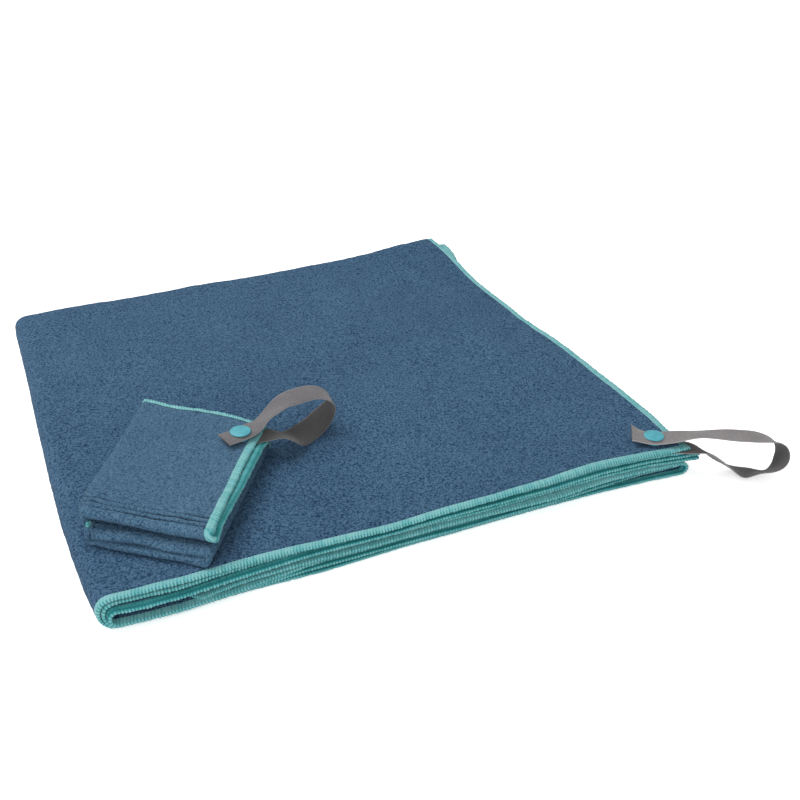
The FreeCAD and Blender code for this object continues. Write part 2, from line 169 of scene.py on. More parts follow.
# ------------------------------------------------------------------ a towel folded to eight layers
class Fold:
    """The path of a towel that is folded in half, then twice across. Parameter u runs 0..7 over run,
    fold, run, fold, run, fold, run. The two plies lie at +half and -half from the path, and are
    joined by a fold along the high-Y side."""

    def __init__(self, width, depth, pitch, layer, xr_ab, xr_cd, xr_low, stack=8):
        self.pitch, self.layer, self.half = pitch, layer, pitch / 2
        self.height = 7 * pitch + layer
        self.zm = self.height / 2
        self.xf = -width / 2 + self.height / 2
        self.zl = (3 * pitch + layer) / 2
        self.xl = xr_low - self.zl
        self.xr_ab, self.xr_cd = xr_ab, xr_cd
        self.r2, self.r4, self.r6 = 3 * pitch, pitch, pitch
        self.y0, self.y1 = -depth / 2, depth / 2
        self.ywb = self.y1 - (pitch + layer) / 2
        self.len1 = xr_ab - self.xf
        self.len7 = xr_cd - self.xf

    def path(self, u):
        u = np.asarray(u, float)
        seg = np.clip(np.floor(u).astype(int), 0, 6)
        t = u - seg
        x, z, nx, nz = (np.zeros(u.shape) for _ in range(4))
        runs = {
            0: (self.xr_ab, self.xf, self.zm + 3 * self.pitch, 1),
            2: (self.xf, self.xl, self.zm - 3 * self.pitch, -1),
            4: (self.xl, self.xf, self.zm - self.pitch, 1),
            6: (self.xf, self.xr_cd, self.zm + self.pitch, -1),
        }
        for k, (a, b, zz, s) in runs.items():
            m = seg == k
            x[m] = a + (b - a) * t[m]
            z[m], nz[m] = zz, s
        for k, cx, cz, r, a0, a1, s in (
            (1, self.xf, self.zm, self.r2, 90, 270, 1),
            (3, self.xl, self.zl, self.r4, -90, 90, 1),
            (5, self.xf, self.zm, self.r6, 270, 90, -1),
        ):
            m = seg == k
            ang = np.radians(a0 + (a1 - a0) * t[m])
            x[m], z[m] = cx + r * np.cos(ang), cz + r * np.sin(ang)
            nx[m], nz[m] = s * np.cos(ang), s * np.sin(ang)
        return x, z, nx, nz

    def place(self, u, off, y):
        x, z, nx, nz = self.path(u)
        return np.stack([x + nx * off, np.broadcast_to(y, x.shape), z + nz * off], -1)

    def weight(self, u):
        return np.interp(u, [0, 1, 2, 5, 6, 7], [1, 1, 0, 0, 1, 1])

    def stations(self, step_top, step_hidden, arc):
        """Values of u with step_top mm along the top run and step_hidden along the others."""
        def run(k, length, step):
            n = max(int(length / step), 2)
            return k + np.linspace(0, 1, n, endpoint=False)
        length = self.xl - self.xf
        return np.concatenate([
            np.sort(np.concatenate([run(0, self.len1, step_top), np.array([1.5, 2.6, 3.3, 4.4, 5.0, 5.6]) / self.len1])), run(1, arc * 1.4, 1), run(2, length, step_hidden),
            run(3, arc, 1), run(4, length, step_hidden), run(5, arc, 1),
            np.sort(np.concatenate([run(6, self.len7, step_hidden), 7 - np.array([1.5, 3.0, 4.2, 5.0, 6.0, 8.0, 12.0]) / self.len7])),
            [7.0]])


def towel_cloth(name, fold, warp, relief, mats, step_top, step_hidden, step_y, trim, arc=14, crease=0.0):
    """The cloth itself: one closed sheet with two plies joined along the high-Y side."""
    u = fold.stations(step_top, step_hidden, arc)
    h, t = fold.half, fold.layer / 2
    yin = fold.y0 + 1.0
    n_p = max(int((fold.ywb - yin) / step_y), 8)
    band = min(46.0, 0.4 * (fold.ywb - yin))
    yp = np.sort(np.concatenate([np.linspace(yin, fold.ywb, n_p), fold.y0 + np.array([2.7, 3.1, 3.7, 4.3, 4.8, 5.4]),
                                 fold.ywb - 0.11 - np.arange(0, crease, 0.42)]))
    yc = np.concatenate([np.linspace(yin, yin + band, int(band / 1.6), endpoint=False),
                         np.linspace(yin + band, fold.ywb, max(int((fold.ywb - yin - band) / 14), 5))])
    ro, ri = h + t, max(h - t, 0.12)
    a = np.radians(np.linspace(90, -90, 9))[1:-1]
    outer = ([(y, ro, 1.0) for y in yp] + [(fold.ywb + ro * math.cos(k), ro * math.sin(k), math.sin(k)) for k in a]
             + [(y, -ro, -1.0) for y in yc[::-1]])
    b = np.radians(np.linspace(90, -90, 5))[1:-1]
    inner = ([(y, ri, 1.0) for y in yc] + [(fold.ywb + ri * math.cos(k), ri * math.sin(k), math.sin(k)) for k in b]
             + [(y, -ri, -1.0) for y in yc[::-1]])
    po = np.concatenate([yp, fold.ywb + np.arange(1, 8), fold.ywb + 8 + (fold.ywb - yc[::-1])])
    pi = np.concatenate([yc, fold.ywb + np.arange(1, 4) * 2, fold.ywb + 8 + (fold.ywb - yc[::-1])])
    ring = np.array(outer + inner[::-1])
    n, m = len(u), len(ring)
    U = np.repeat(u, m)
    Y, OFF, LEG = (np.tile(ring[:, k], n) for k in range(3))
    side = np.tile(np.concatenate([np.ones(len(outer)), -np.ones(len(inner))]), n)
    # the pile is trimmed and pressed flat under the sewn thread
    length = np.interp(U, [0, 1, 2, 3, 4, 5, 6, 7], np.concatenate([[0], np.cumsum(
        [fold.len1, math.pi * fold.r2, fold.xl - fold.xf, math.pi * fold.r4, fold.xl - fold.xf,
         math.pi * fold.r6, fold.len7])]))
    from_end = np.minimum(length, length.max() - length)
    inset = np.minimum(Y - fold.y0, from_end)
    press = 0.36 + 0.64 * smooth((inset - trim) / 1.3)
    straight = Y <= fold.ywb + 1e-9
    rad = np.hypot(Y - fold.ywb, OFF) + 1e-9
    cen_off = np.where(straight, np.sign(OFF) * h, OFF / rad * h)
    cen_y = np.where(straight, Y, fold.ywb + (Y - fold.ywb) / rad * h)
    OFF = cen_off + (OFF - cen_off) * press
    Y = cen_y + (Y - cen_y) * press
    OFF = OFF + relief(U, Y, LEG, side) * press
    P = warp(fold.place(U, OFF, Y), U, LEG, side)
    caps = []
    for base, flip in ((0, False), ((n - 1) * m, True)):
        o = [base + k for k in range(len(outer))]
        i = [base + m - 1 - k for k in range(len(inner))]
        for tri in zipper(o, i, po, pi):
            caps.append(tri[::-1] if not flip else tri)
    ob = build_mesh(name, P, tube_quads(n, m), caps, mats)
    # painted shade: the 'shade' attribute darkens the cloth's colour where the relief dips into creases
    at = ob.data.attributes.new("shade", "FLOAT", "POINT")
    at.data.foreach_set("value", np.clip(1.0 + 1.0 * np.minimum(relief(U, Y, LEG, side) * np.where(LEG >= 0, 1, -1) + 0.16, 0), 0.3, 1).astype(np.float32))
    return ob, fold.weight(U)


STITCH = 1.75


def ridge(x):
    f = x - np.floor(x)
    return 1 - (2 * f - 1) ** 2


def binding_ring(width, nose, t):
    """Outline of the thread wrap: distance in from the edge, height, and the share of it on the nose."""
    pts = []
    for d in (1.0, 0.93, 0.8, 0.65, 0.5, 0.34, 0.16):
        pts.append((nose + (width - nose) * d, t, 0.0))
    for a in np.radians(np.linspace(90, 270, 8)):
        pts.append((nose + nose * math.cos(a), t * math.sin(a), -math.cos(a)))
    for d in (0.3, 0.65, 0.93, 1.0):
        pts.append((nose + (width - nose) * d, -t, 0.0))
    inner = [(width - 0.3, -0.4, -1), (nose + 0.4, -0.3, -1), (nose + 0.4, 0.3, -1), (width - 0.3, 0.4, -1)]
    return np.array(pts), np.array(inner)


def binding(name, place, length_of, n_u, width, t, mats, seed, samples=5, pitch=STITCH):
    """Overlocked thread round an edge. place(k, dy, n) gives points for station k of a dense
    parameter list, length_of gives arc length for that list."""
    nose_len = 1.15
    outer, inner = binding_ring(width, nose_len, t)
    total = length_of[-1]
    rows = int(total / pitch * samples)
    s = np.linspace(0, total, rows)
    k = np.interp(s, length_of, n_u)
    rng = np.random.default_rng(seed)
    # slow drift of the stitch length, so that the rows don't look printed
    drift = np.interp(s, np.linspace(0, total, 40), rng.uniform(-0.4, 0.4, 40))
    ph = s / pitch + drift
    cell = np.floor(ph).astype(int)
    rnd = rng.uniform(0, 1, cell.max() + 3)
    rnd2 = rng.uniform(-1, 1, cell.max() + 3)
    S, D, nose = ph[:, None], outer[None, :, 0], outer[None, :, 2]
    top = (outer[None, :, 1] > 0).astype(float)
    slant = np.where(top > 0, 0.9, -0.8) * (D / width)
    tuft = 0.65 + 0.6 * rnd[np.clip(cell, 0, None)][:, None]
    tug = 0.16 * rnd2[np.clip(cell, 0, None)][:, None]
    face = ridge(S + slant)
    knot = ridge(S + 0.12) ** 0.8
    h_face = 0.09 * face * tuft
    h_nose = (0.62 * knot * tuft - 0.14 + tug * knot) * nose
    edge = np.abs(D - outer[:, 0].max()) < 1e-6
    # the looper thread makes a low plait along the middle of the face
    plait = np.exp(-((D - 0.55 * width) / (0.13 * width)) ** 2) * (1 - nose)
    h_face = h_face + 0.14 * plait * (ridge(2 * S) - 0.3)
    bulge = np.where(edge, -0.14, h_face * (1 - nose) + h_nose)
    zig = np.where(edge, 0.7 * (np.abs(2 * (S + 0.3 - np.floor(S + 0.3)) - 1) - 0.5), 0.0)
    dy = D - bulge * np.clip(nose, 0, 1) + zig
    nn = outer[None, :, 1] + np.sign(outer[None, :, 1]) * bulge * np.sqrt(np.clip(1 - nose ** 2, 0, 1))
    # painted shade in the vertex tone: lighter on stitch ridges and knots, darker in the valleys between stitches,
    # beside the nose, on the nose's lower half and on the underside; each stitch also gets a random brightness
    tone = (1 - nose) * (0.80 + 0.20 * face - 0.34 * plait * (1 - ridge(S + 0.45)) ** 2) + nose * (0.42 + 0.58 * knot ** 1.3)
    tone = tone - 0.4 * np.clip(1 - (D - 0.6) / 1.1, 0, 1) * (1 - nose) * (1 - knot) ** 1.2
    tone = tone * np.where(nose > 0, 0.40 + 0.60 * smooth((outer[None, :, 1] / t + 1.0) / 0.6), 1.0)
    tone = np.where((top > 0) | (nose > 0), tone, tone * 0.75) * (0.9 + 0.2 * rnd[np.clip(cell, 0, None)][:, None])
    dy = np.concatenate([dy, np.repeat(inner[None, :, 0], rows, 0)], 1)
    nn = np.concatenate([nn, np.repeat(inner[None, :, 1], rows, 0)], 1)
    tone = np.concatenate([tone, np.full((rows, len(inner)), 0.2)], 1)
    m = dy.shape[1]
    K = np.repeat(k, m)
    P, W = place(K, dy.ravel(), nn.ravel())
    caps = [list(range(m))[::-1], [(rows - 1) * m + j for j in range(m)]]
    ob = build_mesh(name, P, tube_quads(rows, m), caps, mats)
    at = ob.data.attributes.new("tone", "FLOAT", "POINT")
    at.data.foreach_set("value", np.clip(tone, 0, 1).astype(np.float32).ravel())
    return ob, W


def strand_binding(name, fold, warp, leg, mats, seed, width, t):
    u = np.linspace(0, 7, 6000)
    c = fold.place(u, leg * fold.half, 0.0)
    length = np.concatenate([[0], np.cumsum(np.linalg.norm(np.diff(c, axis=0), axis=1))])

    def place(U, dy, n):
        P = fold.place(U, leg * (fold.half) + n * 1.0, fold.y0 + dy)
        return warp(P, U, np.full(U.shape, leg), np.zeros(U.shape)), fold.weight(U)
    return binding(name, place, length, u, width, t, mats, seed)


def end_binding(name, fold, warp, which, mats, seed, width, t):
    """Binding of a short end: along one ply, round the fold and back along the other."""
    run = fold.ywb - fold.y0
    turn = math.pi * fold.half
    total = 2 * run + turn
    v = np.linspace(0, total, 3000)

    def place(V, dx, n):
        leg = np.where(V < run, 1.0, np.where(V > run + turn, -1.0, np.cos((V - run) / turn * math.pi)))
        ang = np.clip((V - run) / turn, 0, 1) * math.pi
        y = np.where(V < run, fold.y0 + V, np.where(V > run + turn, fold.ywb - (V - run - turn),
                     fold.ywb + (fold.half + n) * np.sin(ang)))
        off = (fold.half + n) * np.cos(ang)
        U = dx / fold.len1 if which == 0 else 7 - dx / fold.len7
        # thread beyond the cut edge lies outside the path's end
        P = fold.place(np.clip(U, 0, 7), off, y)
        over = np.where(dx < 0, -dx, 0.0)
        P[:, 0] += over
        return warp(P, np.clip(U, 0, 7), leg, np.zeros(U.shape)), fold.weight(np.clip(U, 0, 7))
    return binding(name, place, v, v, width, t, mats, seed)


# ------------------------------------------------------------------ materials
def new_material(name):
    m = bpy.data.materials.new(name)
    m.use_nodes = True
    nt = m.node_tree
    for n in list(nt.nodes):
        nt.nodes.remove(n)
    out = nt.nodes.new("ShaderNodeOutputMaterial")
    bsdf = nt.nodes.new("ShaderNodeBsdfPrincipled")
    nt.links.new(bsdf.outputs[0], out.inputs[0])
    coord = nt.nodes.new("ShaderNodeTexCoord")
    return m, nt, bsdf, coord


def node(nt, kind, **kw):
    n = nt.nodes.new(kind)
    for k, v in kw.items():
        setattr(n, k, v)
    return n


def noise(nt, coord, scale, detail=2.0, rough=0.5, distort=0.0):
    n = node(nt, "ShaderNodeTexNoise")
    n.inputs["Scale"].default_value = scale
    n.inputs["Detail"].default_value = detail
    n.inputs["Roughness"].default_value = rough
    n.inputs["Distortion"].default_value = distort
    nt.links.new(coord.outputs["Object"], n.inputs["Vector"])
    return n.outputs["Fac"]


def ramp(nt, fac, stops):
    n = node(nt, "ShaderNodeValToRGB")
    el = n.color_ramp.elements
    while len(el) > len(stops):
        el.remove(el[-1])
    while len(el) < len(stops):
        el.new(0.5)
    for e, (p, c) in zip(el, stops):
        e.position = p
        e.color = (c[0], c[1], c[2], 1)
    nt.links.new(fac, n.inputs[0])
    return n.outputs["Color"]


def mathn(nt, op, a, b=None, c=None):
    n = node(nt, "ShaderNodeMath", operation=op)
    for k, v in enumerate((a, b, c)):
        if v is None:
            continue
        if isinstance(v, (int, float)):
            n.inputs[k].default_value = v
        else:
            nt.links.new(v, n.inputs[k])
    return n.outputs[0]


def mix(nt, kind, fac, a, b):
    n = node(nt, "ShaderNodeMix", data_type="RGBA", blend_type=kind)
    for sock, v in ((n.inputs[0], fac), (n.inputs[6], a), (n.inputs[7], b)):
        if isinstance(v, (int, float)):
            sock.default_value = v
        elif isinstance(v, tuple):
            sock.default_value = (v[0], v[1], v[2], 1)
        else:
            nt.links.new(v, sock)
    return n.outputs[2]


def bump(nt, height, strength, distance, normal=None):
    n = node(nt, "ShaderNodeBump")
    n.inputs["Strength"].default_value = strength
    n.inputs["Distance"].default_value = distance
    nt.links.new(height, n.inputs["Height"])
    if normal is not None:
        nt.links.new(normal, n.inputs["Normal"])
    return n.outputs["Normal"]


def terry(name, dark, mid, light, scale=1.0):
    """Short looped pile: pebbly clumps one to two millimetres across, each of small loops."""
    m, nt, bsdf, coord = new_material(name)
    clump = noise(nt, coord, 620 * scale, 2.0, 0.55, 0.4)
    fine = noise(nt, coord, 1700 * scale, 2.0, 0.6, 0.2)
    vor = node(nt, "ShaderNodeTexVoronoi", feature="SMOOTH_F1")
    vor.inputs["Scale"].default_value = 900 * scale
    vor.inputs["Smoothness"].default_value = 0.6
    nt.links.new(coord.outputs["Object"], vor.inputs["Vector"])
    cell = mathn(nt, "SUBTRACT", 1.0, vor.outputs["Distance"])
    patch = noise(nt, coord, 26, 3.0, 0.55, 0.3)
    large = noise(nt, coord, 9, 2.0, 0.5, 0.0)
    h = mathn(nt, "ADD", mathn(nt, "MULTIPLY", clump, 0.72), mathn(nt, "MULTIPLY", fine, 0.48))
    h = mathn(nt, "ADD", h, mathn(nt, "MULTIPLY", cell, 0.55))
    col = ramp(nt, h, [(0.62, dark), (0.84, mid), (1.0, light)])
    col = mix(nt, "MULTIPLY", 1.0, col, ramp(nt, patch, [(0.3, (0.90, 0.91, 0.93)), (0.7, (1.08, 1.07, 1.05))]))
    col = mix(nt, "MULTIPLY", 1.0, col, ramp(nt, large, [(0.35, (0.95, 0.96, 0.97)), (0.65, (1.05, 1.04, 1.03))]))
    # painted shade: the per-vertex 'shade' attribute darkens the colour in the creases
    att = node(nt, "ShaderNodeAttribute", attribute_name="shade")
    col = mix(nt, "MULTIPLY", 1.0, col, ramp(nt, att.outputs["Fac"], [(0.3, (0.22, 0.22, 0.24)), (1.0, (1.0, 1.0, 1.0))]))
    nt.links.new(col, bsdf.inputs["Base Color"])
    bsdf.inputs["Roughness"].default_value = 0.95
    bsdf.inputs["Specular IOR Level"].default_value = 0.15
    bsdf.inputs["Sheen Weight"].default_value = 0.035
    bsdf.inputs["Sheen Roughness"].default_value = 0.5
    bsdf.inputs["Sheen Tint"].default_value = (0.6, 0.8, 1.0, 1)
    nt.links.new(bump(nt, h, 0.75, 0.0011), bsdf.inputs["Normal"])
    return m


def thread(name, stops):
    """Overlocking thread: filaments on a slant, with painted shade down between the stitches."""
    m, nt, bsdf, coord = new_material(name)
    # the vertex tone carries painted shade between the stitches and on the lower, downward-facing parts
    att = node(nt, "ShaderNodeAttribute", attribute_name="tone")
    fil = node(nt, "ShaderNodeTexWave", wave_type="BANDS", bands_direction="DIAGONAL")
    fil.inputs["Scale"].default_value = 620
    fil.inputs["Distortion"].default_value = 3.0
    fil.inputs["Detail"].default_value = 2.0
    nt.links.new(coord.outputs["Object"], fil.inputs["Vector"])
    fuzz = noise(nt, coord, 1500, 2.0, 0.6)
    tone = noise(nt, coord, 60, 2.0, 0.5)
    fac = mathn(nt, "ADD", att.outputs["Fac"], mathn(nt, "MULTIPLY_ADD", fil.outputs["Fac"], 0.10, -0.05))
    fac = mathn(nt, "ADD", fac, mathn(nt, "MULTIPLY_ADD", fuzz, 0.22, -0.11))
    fac = mathn(nt, "ADD", fac, mathn(nt, "MULTIPLY_ADD", tone, 0.24, -0.12))
    col = ramp(nt, fac, stops)
    nt.links.new(col, bsdf.inputs["Base Color"])
    bsdf.inputs["Roughness"].default_value = 0.62
    bsdf.inputs["Specular IOR Level"].default_value = 0.35
    bsdf.inputs["Sheen Weight"].default_value = 0.12
    bsdf.inputs["Sheen Roughness"].default_value = 0.4
    bsdf.inputs["Sheen Tint"].default_value = (0.8, 1.0, 1.0, 1)
    h = mathn(nt, "ADD", mathn(nt, "MULTIPLY", fil.outputs["Fac"], 0.6), mathn(nt, "MULTIPLY", fuzz, 0.5))
    nt.links.new(bump(nt, h, 0.5, 0.0004), bsdf.inputs["Normal"])
    return m


def webbing(name, colour, speck):
    """Flat knitted elastic: fine ribs along the strap, slight fleck."""
    m, nt, bsdf, coord = new_material(name)
    uv = node(nt, "ShaderNodeUVMap")
    uv.uv_map = "strap"
    def wave(direction, scale):
        w = node(nt, "ShaderNodeTexWave", wave_type="BANDS", bands_direction=direction)
        w.inputs["Scale"].default_value = scale
        w.inputs["Distortion"].default_value = 0.6
        w.inputs["Detail"].default_value = 1.0
        nt.links.new(uv.outputs["UV"], w.inputs["Vector"])
        return w.outputs["Fac"]
    rib, weft = wave("X", 0.42), wave("Y", 0.5)
    fleck = noise(nt, coord, 1300, 3.0, 0.65)
    soft = noise(nt, coord, 90, 2.0, 0.5)
    knit = mathn(nt, "MULTIPLY", rib, weft)
    fac = mathn(nt, "ADD", mathn(nt, "MULTIPLY", fleck, 0.75), mathn(nt, "MULTIPLY", knit, 0.25))
    fac = mathn(nt, "ADD", fac, mathn(nt, "MULTIPLY", soft, 0.25))
    dark = tuple(0.62 * c for c in colour)
    col = ramp(nt, fac, [(0.35, dark), (0.62, colour), (0.85, speck)])
    sep = node(nt, "ShaderNodeSeparateXYZ")
    nt.links.new(uv.outputs["UV"], sep.inputs[0])
    # painted highlight: the colour lightens towards both selvedges, where the edges catch the light
    rim = mathn(nt, "ABSOLUTE", sep.outputs[0])
    rim = mathn(nt, "SMOOTH_MIN", mathn(nt, "MAXIMUM", mathn(nt, "MULTIPLY_ADD", rim, 1.6, -10.5), 0.0), 1.0, 0.1)
    col = mix(nt, "MIX", mathn(nt, "MULTIPLY", rim, 0.55), col, tuple(min(1.0, 1.25 * c + 0.03) for c in speck))
    nt.links.new(col, bsdf.inputs["Base Color"])
    bsdf.inputs["Roughness"].default_value = 0.9
    bsdf.inputs["Specular IOR Level"].default_value = 0.2
    bsdf.inputs["Sheen Weight"].default_value = 0.25
    bsdf.inputs["Sheen Roughness"].default_value = 0.5
    h = mathn(nt, "ADD", mathn(nt, "MULTIPLY", knit, 0.8), mathn(nt, "MULTIPLY", fleck, 0.35))
    nt.links.new(bump(nt, h, 0.55, 0.0003), bsdf.inputs["Normal"])
    return m


def resin(name, colour):
    """Moulded resin with a satin skin, slightly cloudy."""
    m, nt, bsdf, coord = new_material(name)
    cloud = noise(nt, coord, 240, 3.0, 0.55)
    col = ramp(nt, cloud, [(0.35, tuple(0.9 * c for c in colour)), (0.65, tuple(min(1, 1.08 * c) for c in colour))])
    nt.links.new(col, bsdf.inputs["Base Color"])
    rough = ramp(nt, noise(nt, coord, 900, 2.0, 0.5), [(0.3, (0.36,) * 3), (0.7, (0.46,) * 3)])
    nt.links.new(rough, bsdf.inputs["Roughness"])
    bsdf.inputs["Specular IOR Level"].default_value = 0.45
    bsdf.inputs["Subsurface Weight"].default_value = 0.08
    bsdf.inputs["Subsurface Radius"].default_value = (0.4, 1.0, 1.0)
    bsdf.inputs["Subsurface Scale"].default_value = 0.0008
    nt.links.new(bump(nt, cloud, 0.05, 0.0002), bsdf.inputs["Normal"])
    return m


M_BATH = terry("bath_terry", (0.0075, 0.029, 0.066), (0.031, 0.081, 0.150), (0.071, 0.143, 0.235))
M_FACE = terry("face_terry", (0.021, 0.057, 0.103), (0.049, 0.114, 0.189), (0.088, 0.170, 0.260), 1.15)
M_THREAD = thread("edge_thread", [(0.05, (0.0, 0.060, 0.066)), (0.40, (0.005, 0.172, 0.184)),
                                  (0.70, (0.048, 0.315, 0.334)), (1.0, (0.215, 0.475, 0.492))])
M_STRAP_OUT = webbing("strap_outer", (0.215, 0.200, 0.202), (0.34, 0.325, 0.325))
M_STRAP_IN = webbing("strap_inner", (0.088, 0.083, 0.083), (0.15, 0.145, 0.145))
# painted shade: the small strap is the same webbing as the large one, given darker shaded copies of its colours
M_STRAP2_OUT_SHADED = webbing("strap_outer_small_shaded", (0.142, 0.135, 0.142), (0.225, 0.215, 0.222))
M_STRAP2_IN_SHADED = webbing("strap_inner_small_shaded", (0.066, 0.065, 0.067), (0.11, 0.108, 0.11))
M_SNAP = resin("snap_resin", (0.076, 0.365, 0.437))


# ------------------------------------------------------------------ bath towel
BATH = Fold(356.0, 358.0, 2.4, 2.1, 178.0, 182.0, 176.0)
# sewn edges by layer, top to bottom: how far each lies behind the front, and how far it is shifted in height
XS = [-182, -155, -136, -110, -60, -13, 34, 84, 123, 150, 184]
SETBACK = table(XS, [
    [0.0, 0.0, 0.0, 0.0, 0.0, 0.0, 0.0, 0.0, 0.0, 0.2, 0.0],
    [0.3, 0.0, -0.7, 1.0, 2.0, 2.5, 2.2, 1.8, 1.8, 1.4, 1.0],
    [-3.5, -4.5, -4.4, -2.5, -0.3, 0.0, 0.8, 0.0, 0.0, 0.0, -0.8],
    [12.0, 10.0, 5.0, 3.5, 3.2, 3.0, 0.8, 0.8, 0.3, 0.4, -0.8],
    [12.0, 9.0, -1.8, -1.0, 0.2, 0.0, 0.0, -2.0, -1.2, -1.2, -1.0],
    [-3.5, -4.5, -5.0, -3.5, 2.0, 2.2, 2.2, 2.0, 2.5, 4.0, 5.0],
    [-2.0, -2.5, -2.0, -1.0, -0.3, -0.3, -0.3, 0.0, 1.0, 3.5, 5.0],
    [-0.5, -0.5, 0.0, -0.3, -1.0, 0.8, 0.8, 0.6, 0.0, -0.8, -0.8]])
RAISE = table(XS, [
    [0.0, 0.1, 0.1, 0.0, 0.0, 0.0, 0.0, 0.0, 0.0, 0.0, 0.3],
    [-0.1, -0.5, -0.6, -0.5, 0.3, 0.5, 0.0, 0.0, 0.0, 0.0, 0.1],
    [-0.2, -1.1, -1.3, -0.4, 1.2, 1.1, 0.2, 0.2, 0.3, 0.2, 0.4],
    [-2.2, -3.6, -3.9, -2.0, 0.0, 0.4, -0.3, -0.3, -0.3, -0.4, -0.7],
    [-1.9, -3.1, -3.4, -1.6, 0.4, 0.4, -0.5, -0.2, -0.2, -0.3, -0.6],
    [-1.2, -2.4, -2.7, -2.3, -0.2, 0.3, -0.4, -0.1, -0.0, 0.0, 0.0],
    [-0.6, -1.2, -1.4, -1.2, 0.0, 0.4, -0.2, -0.1, -0.0, 0.0, 0.0],
    [0.0, 0.0, 0.0, 0.0, 0.0, 0.0, 0.0, 0.0, 0.0, 0.0, 0.0]])
SNAP = (161.5, -164.5)
HEADING = math.radians(-23.5)
FSNAP = (-74.5, -86.5)


def world_line(at, pts):
    c, s = math.cos(HEADING), math.sin(HEADING)
    return [(at[0] + c * u - s * v, at[1] + s * u + c * v) for u, v in pts]


BATH_ARM = world_line(SNAP, [(-8, 0.9), (0, 0), (9, -1), (21.5, -2.5), (33, -3.5)])
FACE_ARM = world_line(FSNAP, [(-7, -4.5), (0, 0), (7, 4.3), (13.5, 7.2), (20, 8.7), (27, 12)])
drape = make_waves(3, 14, 70, 210)
ripple = make_waves(5, 18, 14, 42, 0.6)
edge_wave = [make_waves(20 + k, 6, 60, 200) for k in range(8)]


def layer_of(u, leg):
    """0 for the top layer A to 7 for the bottom layer H, as a number along the strand."""
    p = np.interp(u, range(8), [0, 0, 7, 7, 4, 4, 3, 3])
    q = np.interp(u, range(8), [1, 1, 6, 6, 5, 5, 2, 2])
    s = (np.asarray(leg) + 1) / 2
    return p * s + q * (1 - s)


